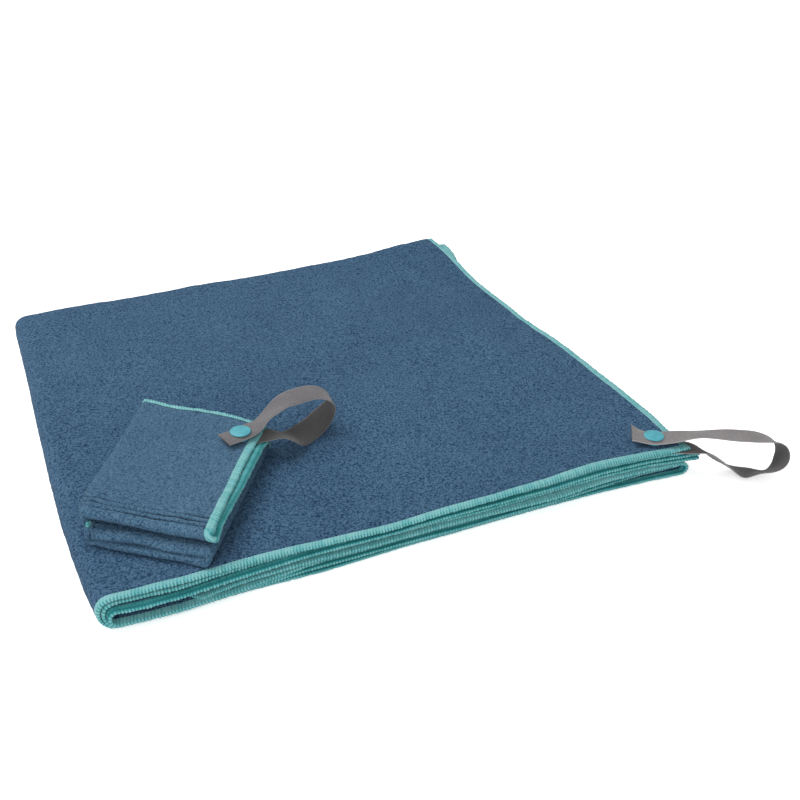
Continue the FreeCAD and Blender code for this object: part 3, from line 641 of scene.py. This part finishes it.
def warp_bath(P, u, leg, side):
    x, y, z = P[:, 0].copy(), P[:, 1].copy(), P[:, 2].copy()
    leg = np.asarray(leg, float)
    s = (leg + 1) / 2
    up = z / BATH.height
    front = np.exp(-np.clip(y + 179, 0, None) / 14)
    near = np.exp(-np.clip(y + 179, 0, None) / 26)
    lay = layer_of(u, leg)
    wob = by_strand(np.stack([edge_wave[k](x, 0 * x) for k in range(8)], 0), u, leg)
    y2 = y + (SETBACK(u, leg, x) + 0.40 * wob * smooth((x + 165) / 40)) * front
    # the innermost fold stops short of the others at the sewn side, which leaves a hollow
    inner = smooth((u - 4.0) / 0.2) * s
    hollow = inner * np.clip(1 - (x - BATH.xf) / 75, 0, 1.05) ** 1.5 * smooth((-105 - y) / 60)
    x2 = x + 25 * hollow
    # layers ease apart a little between the folds
    droop = by_strand(np.repeat(np.array([[-0.3], [-0.1], [-0.5], [-0.1], [0.0], [0.0], [0.0], [0.0]]), len(x), 1), u, leg)
    droop = droop * np.exp(-np.clip(y + 179, 0, None) / 3.6) * smooth((150 - x) / 25) * smooth((x + 172) / 20)
    z2 = z + droop + RAISE(u, leg, x) * near + 0.15 * np.clip(up, 0, 1) * front * edge_wave[1](x + 50, 0 * x) * smooth((x + 150) / 40)
    z2 = z2 + np.clip(up, 0, 1) * np.exp(-np.clip(y + 179, 0, None) / 35) * np.interp(
        x, [-182, -152, -136, -96, -59, -13, 34, 84, 123, 150, 161], [0.3, 0.5, 0.8, 0.0, -1.8, -3.0, -1.3, 0.0, 1.6, 0.5, 0.0])
    # the second ply gives way where the strap and the back of the snap lie on it
    d_arm, d_cap = near_line(x, y, BATH_ARM), np.hypot(x - SNAP[0], y - SNAP[1])
    ply2 = np.clip(1 - np.abs(lay - 1), 0, 1)
    dent = 1.15 * (1 - smooth((d_arm - 8.0) / 4)) + 0.6 * (1 - smooth((d_cap - 2.6) / 2.5))
    z2 = z2 - ply2 * np.where(side < 0, dent, np.where(side == 0, 0.75 * np.clip(dent, 0, 1.2), 0.15 * dent))
    ply3 = np.clip(1 - np.abs(lay - 2), 0, 1)
    z2 = z2 - 0.35 * ply3 * np.clip(dent, 0, 1.1)
    # outline
    fy = np.interp(x, [-182, -170, -80, 0, 77, 119, 150, 168, 184], [-1.0, -2.8, -1.6, 0.2, 1.4, 2.8, 2.6, 1.2, 0.0])
    y2 = y2 + fy * np.clip((179 - y) / 358, 0, 1) ** 2
    bl = np.interp(y, [-182, -157, -126, -92, -44, -6, 20, 74, 124, 165, 180],
                   [0.2, -2.4, -3.8, -4.6, -4.0, -3.0, -2.4, -0.6, 0.7, 1.3, 2.4])
    x2 = x2 + bl * np.clip(1 - (x + 182) / 150, 0, 1)
    ab = smooth((1.6 - lay) / 0.6)
    rw = np.interp(y, [-182, -160, -135, -91, -53, -13, 22, 90, 140, 160, 180],
                   [0.5, 0.2, 2.4, 3.4, 2.8, 1.2, -2.2, -2.8, -2.6, -3.6, -6.5])
    rc = np.interp(y, [-182, -160, -120, 100, 136, 148, 160, 172, 180], [4.0, 1.5, -4.0, -6.5, -5.0, -0.6, 2.2, 3.2, 2.6])
    cd = smooth((lay - 1.4) / 0.4) * smooth((3.6 - lay) / 0.4)
    rl = np.interp(y, [-182, -165, -140, 180], [3.6, 2.0, -2.0, -5.0])
    low = smooth((lay - 3.5) / 0.4)
    right = np.clip((x - 110) / 68, 0, 1) ** 1.5
    x2 = x2 + (rw * ab + rc * cd + rl * low) * right
    # the back right corner stands up where the folds are fullest
    lift = 8.0 * smooth((x - 60) / 118) * smooth((y - 95) / 84)
    z2 = z2 + lift * up
    y2 = y2 + 2.0 * smooth((x - 60) / 118) * smooth((y - 120) / 60)
    back = smooth((y - 140) / 40)
    z2 = z2 + back * up * 0.9 * drape(x + 40, y)
    # gentle unevenness of the top
    calm = 1 - np.exp(-((x - 161.5) ** 2 + (y + 164.5) ** 2) / 900)
    flat = smooth((x + 178) / 25)
    z2 = z2 + up ** 2 * (0.42 * drape(x, y) + 0.10 * ripple(x, y)) * calm * flat
    return np.stack([x2, y2, z2], -1)


pile = make_waves(11, 40, 4.5, 12, 0.3)


def relief_bath(u, y, leg, side):
    x = BATH.path(u)[0]
    fine = np.where((side > 0), 0.07 * pile(x, y + 400 * leg), 0.0)
    return np.where(leg >= 0, fine, -fine)


steps = ((1.9, 22.0, 1.9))
bath_cloth, w = towel_cloth("bath_cloth", BATH, warp_bath, relief_bath, [M_BATH], *steps, trim=3.4)
set_weights(bath_cloth)
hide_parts("bath_cloth_lower", "bath_cloth_upper")
for n, ob_fn in enumerate((
    lambda nm: strand_binding(nm, BATH, warp_bath, 1.0, [M_THREAD], 31, 4.0, 0.95),
    lambda nm: strand_binding(nm, BATH, warp_bath, -1.0, [M_THREAD], 32, 4.0, 0.95),
    lambda nm: end_binding(nm, BATH, warp_bath, 0, [M_THREAD], 33, 4.4, 0.9),
    lambda nm: end_binding(nm, BATH, warp_bath, 1, [M_THREAD], 34, 4.6, 0.9),
)):
    nm = ("bath_edge_outer", "bath_edge_inner", "bath_end_top", "bath_end_second")[n]
    ob, w = ob_fn(nm)
    set_weights(ob)
    if n == 0:
        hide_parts("bath_edge_lower", "bath_edge_upper")


# ------------------------------------------------------------------ face towel
FACE = Fold(80.0, 113.0, 2.07, 1.85, 40.0, 36.0, 40.0)
Z_FACE = 19.05
LOW = np.array([(-175.0, -133.5), (-118.3, -178.4), (-54.3, -79.5), (-118.5, -22.0)])
UPP = np.array([(-177.2, -120.0), (-113.0, -173.0), (-52.6, -79.1), (-117.5, -16.5)])
f_drape = make_waves(41, 12, 26, 80)
f_ripple = make_waves(43, 16, 6, 18, 0.6)
f_pile = make_waves(44, 40, 3.5, 9, 0.3)


def warp_face(P, u, leg, side):
    x, y, z = P[:, 0].copy(), P[:, 1].copy(), P[:, 2].copy()
    leg = np.asarray(leg, float)
    s = (leg + 1) / 2
    lay = layer_of(u, leg)
    # the spine is pressed nearly square
    dx0, dz0 = x - FACE.xf, z - FACE.zm
    rr = np.hypot(dx0, dz0) + 1e-9
    cs, sn = np.abs(dx0) / rr, np.abs(dz0) / rr
    sq = (cs ** 3.6 + sn ** 3.6) ** (-1 / 3.6)
    bend = dx0 < 0
    x = np.where(bend, FACE.xf + dx0 * sq, x)
    z = np.where(bend, FACE.zm + dz0 * sq, z)
    up = z / FACE.height
    right = smooth((x - 5) / 35)
    # staggered free ends: the top ply's end lies inside the next ply's end
    x = x - (4.3 - 2.0 * smooth((y + 5) / 55)) * right * smooth((0.9 - lay) / 0.8) - 3.0 * right * smooth((y + 5) / 55) * smooth((lay - 1.4) / 0.4) * smooth((3.6 - lay) / 0.4) - (0.4 + 3.2 * smooth((-8 - y) / 45)) * right * smooth((3.4 - lay) / 0.4) * smooth((lay - 1.6) / 0.4)
    # along the folded side the upper half is rounded off, its outer fold full and its inner one set back
    over = smooth((up - 0.5) / 0.03)
    pair_a = smooth((1.7 - lay) / 0.3) * over
    pair_e = smooth((lay - 3.5) / 0.3) * smooth((5.5 - lay) / 0.3) * (1 - over)
    pair_g = smooth((lay - 5.5) / 0.3) * (1 - over)
    away = smooth((x + 41) / 9)
    for pair, zc, fall, grow, start in ((pair_a, 14.38, 2.1, 0.86, 45.5), (pair_e, 6.1, 0.0, 0.32, 49.0), (pair_g, 1.96, 0.0, 0.12, 50.0)):
        bulb = smooth((y - start) / 9) * pair * (0.45 + 0.55 * away)
        z = z + ((z - zc) * grow - fall) * bulb
        y = y + np.clip(y - FACE.ywb, 0, None) * grow * bulb
    soft = np.clip((y - 36) / 18, 0, 1) ** 2 * pair_a
    z = z - 0.8 * soft * np.clip((z - 10) / 6, 0, 1)
    # a gap between the halves, widest near the spine
    z = z + smooth((y - 5) / 50) * over * (2.3 - 1.1 * smooth((x + 20) / 50)) * away
    # the folds lie at slightly different depths
    depth = np.interp(lay, [0, 1, 2, 3, 4, 5, 6, 7], [0.6, 0.6, 6.5, 6.5, 2.0, 2.0, 0.0, 0.0])
    wave = 0.45 * f_drape(x * 1.3 + 20 * lay, 0 * x)
    y = y - (depth + wave) * smooth((y - 20) / 36)
    z = z + (0.35 * f_drape(x * 1.5 + 9 * np.round(lay / 2), 0 * x)) * smooth((y - 42) / 12) * (1 - over) * np.clip(z / 4, 0, 1)
    # the top ply's long sewn edge rises and falls
    open_side = smooth((-30 - y) / 26)
    z = z + open_side * up * 0.9 * f_drape(x, 0 * x)
    y = y + open_side * 1.2 * f_drape(x + 30, 0 * x)
    a = (FACE.y1 - y) / (FACE.y1 - FACE.y0)
    b = (x + 40.0) / 80.0
    k = smooth((up - 0.42) / 0.16)[:, None]
    quad = [LOW[i][None, :] * (1 - k) + UPP[i][None, :] * k for i in range(4)]
    a, b = a[:, None], b[:, None]
    xy = quad[0] * (1 - a) * (1 - b) + quad[1] * (1 - a) * b + quad[2] * a * b + quad[3] * a * (1 - b)
    calm = 1 - np.exp(-((xy[:, 0] + 74.5) ** 2 + (xy[:, 1] + 86.5) ** 2) / 260)
    z = z + up ** 2 * (0.35 * f_drape(x, y) + 0.14 * f_ripple(x, y)) * calm
    z = z + 1.6 * up * smooth((-x - 12) / 26) * smooth((-y - 25) / 30)
    z = np.maximum(z, 0.02) + Z_FACE
    # the second ply gives way under the strap
    wx, wy = xy[:, 0], xy[:, 1]
    d_arm, d_cap = near_line(wx, wy, FACE_ARM), np.hypot(wx - FSNAP[0], wy - FSNAP[1])
    ply2 = np.clip(1 - np.abs(lay - 1), 0, 1)
    dent = 1.1 * (1 - smooth((d_arm - 7.5) / 3.5)) + 0.6 * (1 - smooth((d_cap - 2.6) / 2.2))
    z = z - ply2 * np.where(side < 0, dent, np.where(side == 0, 0.7 * np.clip(dent, 0, 1.1), 0.15 * dent))
    return np.stack([wx, wy, z], -1)


def relief_face(u, y, leg, side):
    x = FACE.path(u)[0]
    fine = np.where((side > 0), 0.06 * f_pile(x, y + 300 * leg), 0.0)
    # creases that run along the folded side
    wave = 0.9 * f_drape(x * 0.8, 0 * x)
    for n, (at, deep, wide) in enumerate(((42.6, 0.42, 0.6), (46.4, 0.66, 0.62), (49.8, 0.74, 0.62), (53.0, 0.66, 0.62))):
        amp = deep * (0.9 + 0.22 * f_drape(x * 1.6 + 31 * n, 0 * x))
        fine = fine - np.clip(amp, 0.08, 1) * np.exp(-((y - at - 0.5 * wave) / wide) ** 2) * (side > 0) * smooth((1.5 - u) / 0.4)
    return np.where(leg >= 0, fine, -fine)


steps = ((1.1, 3.0, 0.75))
face_cloth, w = towel_cloth("face_cloth", FACE, warp_face, relief_face, [M_FACE], *steps, trim=2.8, crease=15.0)
set_weights(face_cloth)
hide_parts("face_cloth_lower", "face_cloth_upper")
for n, (nm, fn) in enumerate((
    ("face_edge_outer", lambda nm: strand_binding(nm, FACE, warp_face, 1.0, [M_THREAD], 51, 3.2, 0.95)),
    ("face_edge_inner", lambda nm: strand_binding(nm, FACE, warp_face, -1.0, [M_THREAD], 52, 3.2, 0.95)),
    ("face_end_top", lambda nm: end_binding(nm, FACE, warp_face, 0, [M_THREAD], 53, 4.4, 0.95)),
    ("face_end_second", lambda nm: end_binding(nm, FACE, warp_face, 1, [M_THREAD], 54, 4.2, 0.95)),
)):
    ob, w = fn(nm)
    set_weights(ob)
    if n == 0:
        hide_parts("face_edge_lower", "face_edge_upper")


def stub_place(K, dy, n):
    z = 25.4 + K
    return np.stack([-171.2 + 0.66 * dy + 0.75 * n, -128.2 + 0.75 * dy - 0.66 * n, z], -1), np.zeros(len(K))


stub, w = binding("face_edge_stub", stub_place, np.linspace(0, 4.6, 40), np.linspace(0, 4.6, 40), 3.0, 0.8, [M_THREAD], 61)
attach(stub, "face_lower")

# ------------------------------------------------------------------ straps
def catmull(stations, steps):
    st = np.asarray(stations, float)
    pts = np.vstack([st[0], st, st[-1]])
    out = []
    for i in range(1, len(pts) - 2):
        a, b, c, d = pts[i - 1], pts[i], pts[i + 1], pts[i + 2]
        for k in range(steps):
            t = k / steps
            out.append(0.5 * (2 * b + (c - a) * t + (2 * a - 5 * b + 4 * c - d) * t * t + (3 * b - a - 3 * c + d) * t ** 3))
    out.append(st[-1])
    return np.array(out)


def strap(name, stations, at, z0, heading, mats, width=14.5, thick=0.9, relax=2.2):
    rows = catmull(stations, 14)
    c, s = math.cos(heading), math.sin(heading)
    C = np.stack([at[0] + c * rows[:, 0] - s * rows[:, 1], at[1] + s * rows[:, 0] + c * rows[:, 1], z0 + rows[:, 2]], -1)
    Wd = np.stack([c * rows[:, 3] - s * rows[:, 4], s * rows[:, 3] + c * rows[:, 4], rows[:, 5]], -1)
    # even steps along the strap
    L = np.concatenate([[0], np.cumsum(np.linalg.norm(np.diff(C, axis=0), axis=1))])
    n = int(L[-1] / 0.45)
    g = np.linspace(0, L[-1], n)
    C = np.stack([np.interp(g, L, C[:, k]) for k in range(3)], -1)
    Wd = np.stack([np.interp(g, L, Wd[:, k]) for k in range(3)], -1)
    # ease the turns
    half_k = int(3 * relax / 0.45)
    ker = np.exp(-0.5 * (np.arange(-half_k, half_k + 1) * 0.45 / relax) ** 2)
    ker /= ker.sum()

    def ease(A):
        lo = 2 * A[0] - A[half_k:0:-1]
        hi = 2 * A[-1] - A[-2:-half_k - 2:-1]
        B = np.concatenate([lo, A, hi])
        return np.stack([np.convolve(B[:, k], ker, mode="valid") for k in range(A.shape[1])], -1)
    C, Wd = ease(C), ease(ease(Wd))
    T = np.gradient(C, axis=0)
    for _ in range(6):
        T[1:-1] = (T[:-2] + 2 * T[1:-1] + T[2:]) / 4
    T /= np.linalg.norm(T, axis=1)[:, None]
    Wd -= (Wd * T).sum(1)[:, None] * T
    Wd /= np.linalg.norm(Wd, axis=1)[:, None]
    N = np.cross(T, Wd)
    # cross-section: flat faces with rounded, slightly thicker selvedges
    q = np.linspace(-1, 1, 15)
    h = thick / 2
    top = [(v * (width / 2), h * (1.0 + 0.18 * abs(v) ** 8) * (1 - 0.75 * (abs(v) > 0.999))) for v in q]
    ring = np.array(top + [(a, -b) for a, b in top[::-1]])
    m = len(ring)
    frill = 1 + 0.006 * np.sin(g * 2 * math.pi / 1.5)
    snap_near = np.exp(-((np.hypot(C[:, 0] - at[0], C[:, 1] - at[1])) / 9.0) ** 2) * (C[:, 2] > z0 - 2)
    cup = 0.2 * np.sin(g * 0.13) * (1 - snap_near) + 1.25 * snap_near
    V = (C[:, None, :] + Wd[:, None, :] * (ring[None, :, :1] * frill[:, None, None])
         + N[:, None, :] * (ring[None, :, 1:] + (cup[:, None] * (ring[None, :, 0] / (width / 2)) ** 2)[..., None]))
    quads = tube_quads(n, m)
    half = len(top)
    fm = np.tile((np.arange(m) >= half - 1).astype(int), n - 1)
    caps = [list(range(m))[::-1], [(n - 1) * m + j for j in range(m)]]
    ob = build_mesh(name, V.reshape(-1, 3), quads, caps, mats, fm)
    me = ob.data
    uvl = me.uv_layers.new(name="strap")
    vid = np.zeros(len(me.loops), np.int32)
    me.loops.foreach_get("vertex_index", vid)
    across = np.tile(ring[:, 0], n)
    along = np.repeat(g, m)
    uvs = np.stack([across[vid], along[vid]], -1)
    uvl.data.foreach_set("uv", uvs.astype(np.float32).ravel())
    set_weights(ob)
    return ob


dz = -6.15
BATH_STRAP = [
    (-7.5, 0.9, dz, 0.1, 1, 0), (0, 0, dz, 0.1, 1, 0), (9, -1.0, dz, 0.1, 1, 0),
    (21.5, -2.5, dz - 0.1, 0.1, 1, 0), (27.5, -3.0, dz - 0.8, 0.1, 1, -0.2),
    (33.0, -3.5, dz - 3.0, 0, 0.87, -0.5), (40.7, -5.6, -14.1, 0, 0.87, -0.50),
    (47.7, -7.2, -18.0, 0, 0.95, -0.30), (54.7, -8.7, -20.4, 0, 0.99, -0.02),
    (63.8, -11.3, -18.2, -0.05, 0.87, -0.47), (69.6, -12.2, -16.6, -0.28, 0.80, -0.54),
    (74.9, -10.7, -13.0, -0.38, 0.76, -0.45), (77.2, -8.2, -8.6, -0.38, 0.80, -0.42),
    (76.6, -5.0, -4.6, -0.24, 0.88, -0.38), (73.4, -2.4, -1.7, -0.08, 0.95, -0.28),
    (67.3, -0.6, -0.3, 0.0, 1, -0.12), (61.8, 0, 0.2, 0, 1, 0), (56, 0, 0.5, 0, 1, -0.02), (48, 0, 0.9, 0, 1, 0),
    (38, 0, 1.5, 0, 1, -0.13), (27, 0, 1.9, 0, 1, -0.25), (19, 0, 1.2, 0, 1, -0.14),
    (12, 0, 0.15, 0, 1, -0.02), (6, 0, 0, 0, 1, 0), (0, 0, 0, 0, 1, 0), (-6, 0, 0.4, 0, 1, 0.02),
    (-10, 0.2, 1.5, 0.02, 1, 0.10), (-13.6, 0.4, 2.8, 0.06, 1, 0.22),
]
bath_strap = strap("bath_strap", BATH_STRAP, SNAP, 22.4, HEADING,
                   [M_STRAP_IN, M_STRAP_OUT])
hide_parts("bath_strap_lower_arm", "bath_strap_upper_arm")

fdz = -6.15
FACE_STRAP = [
    (-6.0, -4.0, fdz, -0.5, 0.86, 0), (0, 0, fdz, -0.5, 0.86, 0), (7, 4.3, fdz, -0.5, 0.86, 0),
    (13.5, 7.2, fdz - 0.1, -0.42, 0.9, 0), (19.0, 8.6, fdz - 0.15, -0.3, 0.94, -0.08), (23.2, 9.9, fdz - 1.5, -0.25, 0.9, -0.34),
    (26.8, 12.2, -10.4, -0.3, 0.88, -0.22), (29.8, 15.6, -12.9, -0.45, 0.74, 0.28),
    (33.8, 20.9, -14.0, -0.55, 0.5, 0.62), (40.3, 32.3, -14.6, -0.68, 0.48, 0.55),
    (45.8, 40.6, -11.6, -0.66, 0.68, 0.28), (49.4, 42.4, -8.0, -0.5, 0.84, 0.1),
    (51.0, 42.2, -3.9, -0.36, 0.92, -0.02), (50.2, 41.4, -0.4, -0.28, 0.95, -0.05),
    (46.9, 41.0, 2.5, -0.22, 0.97, 0.0), (41.0, 39.9, 4.8, -0.2, 0.97, 0.12), (35.5, 37.2, 5.4, -0.2, 0.97, 0.16),
    (27.9, 31.9, 5.5, -0.28, 0.94, 0.2), (22.3, 27.3, 4.9, -0.36, 0.93, 0.08), (15.8, 18.3, 2.6, -0.31, 0.94, -0.12),
    (10.4, 11.2, 0.8, -0.25, 0.93, -0.25), (7.0, 6.9, 0.1, -0.5, 0.86, -0.03), (4.2, 4.0, 0, -0.66, 0.75, 0),
    (0, 0, 0, -0.68, 0.73, 0), (-4.4, -4.0, 0, -0.68, 0.73, 0), (-9.0, -7.4, -0.5, -0.66, 0.75, 0.0),
]
face_strap = strap("face_strap", FACE_STRAP, FSNAP, 39.1, HEADING,
                   [M_STRAP2_IN_SHADED, M_STRAP2_OUT_SHADED])
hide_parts("face_strap_lower_arm", "face_strap_upper_arm")


# ------------------------------------------------------------------ snaps
def lathe(name, profile, at, mats, segs=96):
    pr = np.array(profile, float)
    a = np.linspace(0, 2 * math.pi, segs, endpoint=False)
    V = np.stack([at[0] + pr[:, None, 0] * np.cos(a)[None, :], at[1] + pr[:, None, 0] * np.sin(a)[None, :],
                  np.repeat(pr[:, 1:2], segs, 1)], -1)
    n = len(pr)
    caps = [list(range(segs)), [(n - 1) * segs + j for j in range(segs)][::-1]]
    return build_mesh(name, V.reshape(-1, 3), tube_quads(n, segs), caps, mats)


def cap_profile(z):
    """Snap cap: a shallow dome with a rolled rim and a faint ring, on its post."""
    pts = [(0.25, z + 1.33), (1.5, z + 1.32), (3.0, z + 1.27), (4.3, z + 1.19), (4.62, z + 1.16), (4.75, z + 1.09),
           (4.9, z + 1.08), (5.05, z + 1.12), (5.5, z + 1.02), (5.85, z + 0.86), (6.1, z + 0.6), (6.2, z + 0.32),
           (6.12, z + 0.08), (5.95, z), (4.0, z), (1.05, z), (1.0, z - 0.95), (1.0, z - 1.4), (1.5, z - 1.45),
           (1.5, z - 1.7), (0.3, z - 1.72)]
    return pts


for tag, at, zc, body in (("bath", SNAP, 22.9, "bath_loop_end"), ("face", FSNAP, 39.6, "face_loop_end")):
    cap = lathe(tag + "_cap", cap_profile(zc), at, [M_SNAP])
    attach(cap, body)
    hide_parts(tag + "_snap_cap")
for nname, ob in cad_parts.items():
    if "snap" in nname and not ob.hide_render:
        ob.data.materials.clear()
        ob.data.materials.append(M_SNAP)


# ------------------------------------------------------------------ stage, light, camera
bpy.ops.mesh.primitive_plane_add(size=9.0, location=(0, 0, -0.0004))
floor = bpy.context.object
floor.name = "floor"
fm, fnt, fb, fc = new_material("floor_paper")
fb.inputs["Base Color"].default_value = (0.94, 0.94, 0.94, 1)
flp = fnt.nodes.new("ShaderNodeLightPath")
fem = mathn(fnt, "MULTIPLY", flp.outputs["Is Camera Ray"], 0.52)
fb.inputs["Emission Color"].default_value = (1, 1, 1, 1)
fnt.links.new(fem, fb.inputs["Emission Strength"])
fb.inputs["Roughness"].default_value = 0.9
fb.inputs["Specular IOR Level"].default_value = 0.1
floor.data.materials.append(fm)

world = bpy.data.worlds.new("studio")
bpy.context.scene.world = world
world.use_nodes = True
wn = world.node_tree
bg = wn.nodes["Background"]
bg.inputs[0].default_value = (1, 1, 1, 1)
lp = wn.nodes.new("ShaderNodeLightPath")
strength = wn.nodes.new("ShaderNodeMath")
strength.operation = "MULTIPLY_ADD"
strength.inputs[1].default_value = 0.56
strength.inputs[2].default_value = 0.46
wn.links.new(lp.outputs["Is Camera Ray"], strength.inputs[0])
wn.links.new(strength.outputs[0], bg.inputs[1])


def area(name, loc, target, size, power):
    l = bpy.data.lights.new(name, "AREA")
    l.energy, l.size, l.shape = power, size, "SQUARE"
    o = bpy.data.objects.new(name, l)
    o.location = loc
    o.rotation_euler = (Vector(target) - Vector(loc)).to_track_quat("-Z", "Y").to_euler()
    bpy.context.scene.collection.objects.link(o)
    return o


area("key", (-0.55, 0.75, 1.55), (0, 0, 0), 1.4, 24.5)
area("fill", (-0.75, -1.55, 0.95), (0, 0, 0), 1.5, 19.0)

cam_data = bpy.data.cameras.new("camera")
cam = bpy.data.objects.new("camera", cam_data)
bpy.context.scene.collection.objects.link(cam)
cam_data.lens = 1100.0 / 800.0 * 36.0
cam_data.sensor_width = 36.0
cam_data.clip_start, cam_data.clip_end = 0.01, 30
az, el, dist = math.radians(-23.48), math.radians(29.49), 735.6
target = Vector((47.07, -40.18, 9.45))
back = Vector((math.sin(az) * math.cos(el), -math.cos(az) * math.cos(el), math.sin(el)))
cam.location = (target + back * dist) * MM
cam.rotation_euler = back.to_track_quat("Z", "Y").to_euler()
bpy.context.scene.camera = cam
bpy.context.scene.view_settings.view_transform = "Standard"
bpy.context.scene.view_settings.look = "None"
bpy.context.scene.view_settings.exposure = 0.0
